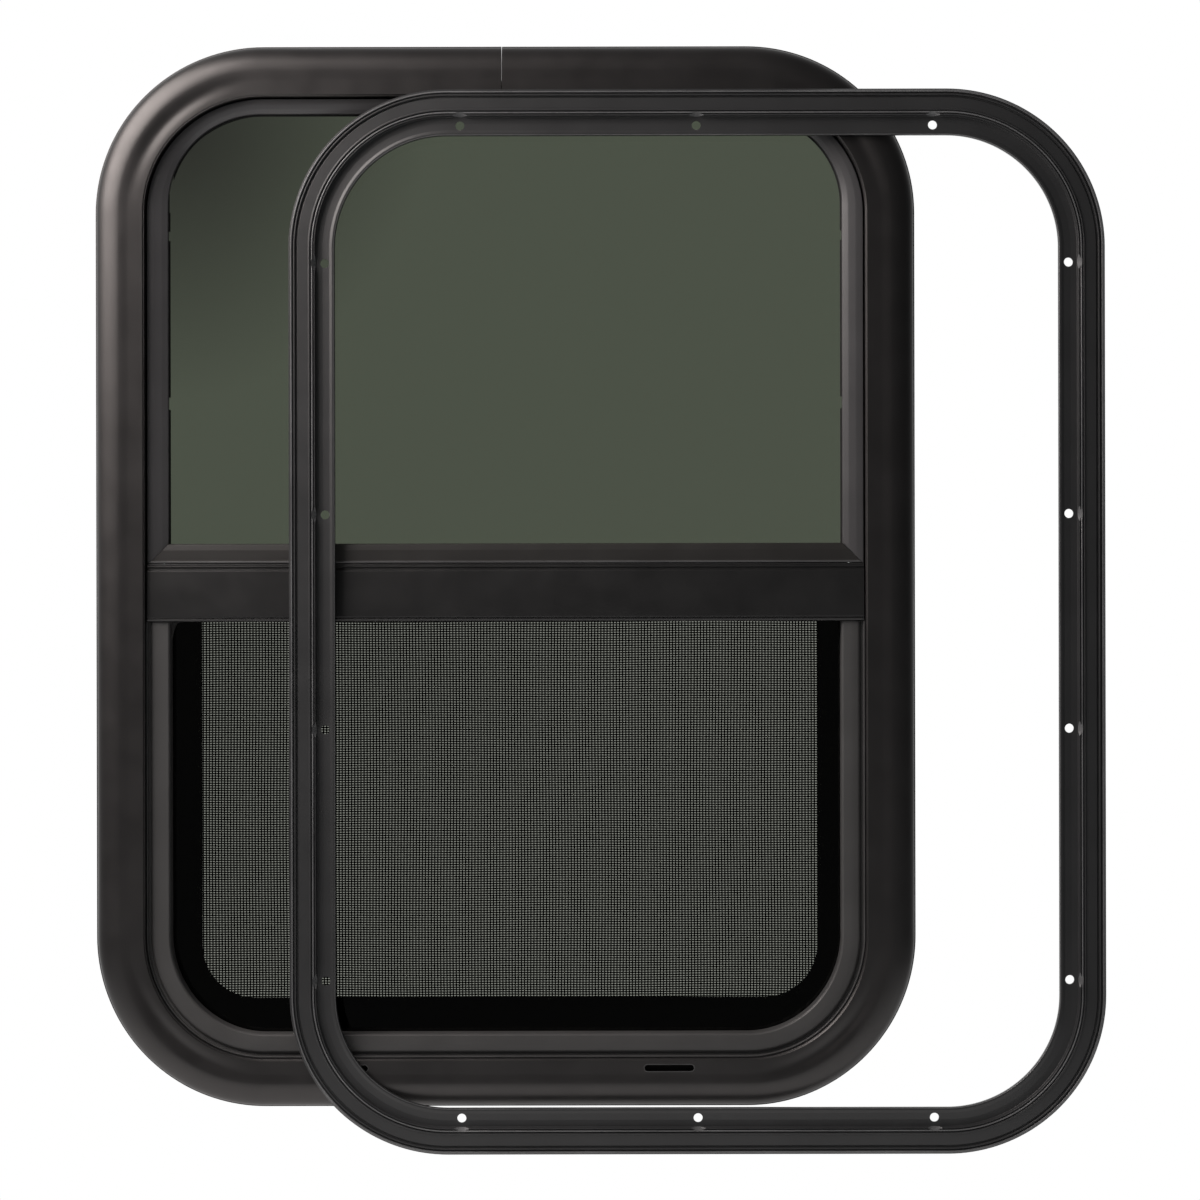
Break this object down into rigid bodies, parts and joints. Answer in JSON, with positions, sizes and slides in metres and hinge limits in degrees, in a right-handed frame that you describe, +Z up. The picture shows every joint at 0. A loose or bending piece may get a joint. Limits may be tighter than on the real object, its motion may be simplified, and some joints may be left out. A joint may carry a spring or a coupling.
{
  "type": "caravan window with clamp ring",
  "caption": "Round-cornered caravan window: fixed tinted pane above, sliding pane with insect screen below, and a separate screw-on clamp ring.",
  "frame": {"origin": "middle of the window on the back face of the flange, which seals against the outside wall", "axes": "-Y out of the window towards a viewer outside, +Y into the caravan, +X to that viewer's right, +Z up"},
  "size_m": [0.5823, 0.0525, 0.6401],
  "materials": {
    "frame_paint": "black powder coat, satin",
    "bead_paint": "black, satin",
    "rail_paint": "black powder coat, satin",
    "surround_paint": "black, satin to glossy",
    "ring_paint": "black powder coat, satin",
    "pane_glass": "grey-green tinted safety glass",
    "sash_glass": "grey-green tinted safety glass with a black printed border",
    "rubber": "matte black",
    "track_plastic": "matte black",
    "pile": "black brush pile",
    "screen_paint": "black, satin",
    "screen_cloth": "charcoal coated glass-fibre mesh",
    "splice_metal": "mill finish"
  },
  "bodies": {
    "root": {"outer_frame_flange": "frame_paint", "outer_frame_neck": "frame_paint", "outer_frame_glazing_leg_runs": "frame_paint", "outer_frame_glazing_leg_bends": "frame_paint", "outer_frame_rear_leg": "frame_paint", "frame_splice_plate": "splice_metal", "fixed_glass": "pane_glass", "fixed_glass_seal": "rubber", "setting_blocks": "rubber", "glazing_bead_arch": "bead_paint", "glazing_bead_sill": "bead_paint", "glazing_gasket": "rubber", "meeting_rail": "rail_paint", "rail_pile_strip": "pile", "sash_surround_runs": "surround_paint", "sash_surround_bends": "surround_paint", "sash_glass": "sash_glass", "sash_pull_rail": "rail_paint", "sash_latch": "track_plastic", "sash_track_left": "track_plastic", "sash_track_right": "track_plastic", "sash_bulb_seal": "rubber", "screen_frame": "screen_paint", "screen_mesh": "screen_cloth", "screen_spline": "rubber", "screen_lift_tabs": "track_plastic", "trim_ring": "ring_paint"}
  },
  "joints": []
}
